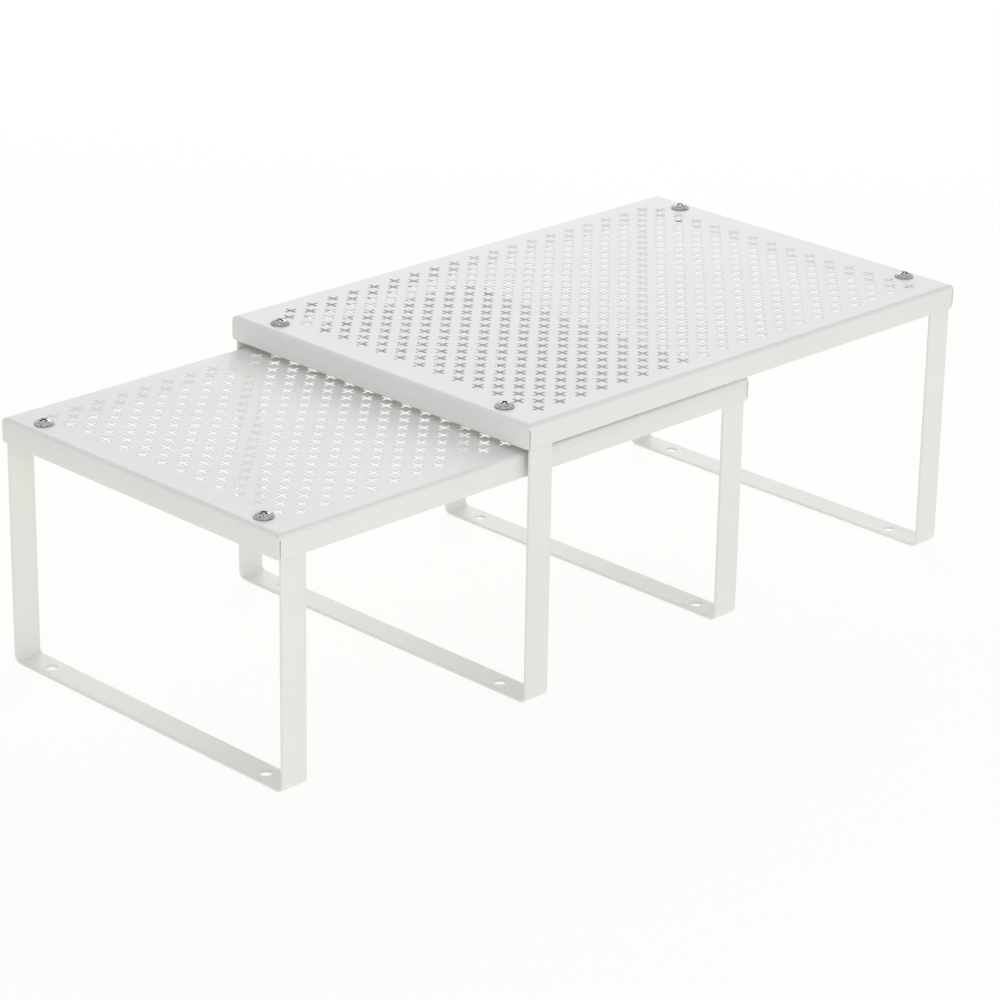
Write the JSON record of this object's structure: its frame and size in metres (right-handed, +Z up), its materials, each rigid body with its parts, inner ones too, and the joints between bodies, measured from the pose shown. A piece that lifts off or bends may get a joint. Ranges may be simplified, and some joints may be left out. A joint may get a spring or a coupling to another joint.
{
  "type": "tiered shelf riser",
  "caption": "Expandable tiered shelf riser: perforated steel trays on bent-strip leg frames, the lower tray sliding out from under the upper one.",
  "frame": {"origin": "on the floor, under the middle of the whole riser as it stands drawn out", "axes": "+X along the shelves from the drawn-out lower shelf to the upper one, +Y from the front to the back, +Z up"},
  "size_m": [0.4964, 0.2286, 0.1577],
  "materials": {
    "powder_coat": "satin white powder coat",
    "screw_plating": "bright nickel plating",
    "nut_plating": "dull zinc plating"
  },
  "bodies": {
    "upper_shelf": {"upper_panel": "powder_coat", "upper_left_leg_frame": "powder_coat", "upper_right_leg_frame": "powder_coat", "upper_screw_front_left": "screw_plating", "upper_screw_front_right": "screw_plating", "upper_screw_back_left": "screw_plating", "upper_screw_back_right": "screw_plating", "upper_nut_front_left": "nut_plating", "upper_nut_front_right": "nut_plating", "upper_nut_back_left": "nut_plating", "upper_nut_back_right": "nut_plating"},
    "lower_shelf": {"lower_panel": "powder_coat", "lower_left_leg_frame": "powder_coat", "lower_right_leg_frame": "powder_coat", "lower_screw_front_left": "screw_plating", "lower_screw_front_right": "screw_plating", "lower_screw_back_left": "screw_plating", "lower_screw_back_right": "screw_plating", "lower_nut_front_left": "nut_plating", "lower_nut_front_right": "nut_plating", "lower_nut_back_left": "nut_plating", "lower_nut_back_right": "nut_plating"}
  },
  "joints": [
    {"name": "lower_shelf_slide", "type": "slide", "parent": "upper_shelf", "child": "lower_shelf", "axis": [-1, 0, 0], "range_m": [-0.1445, 0.1031]}
  ]
}
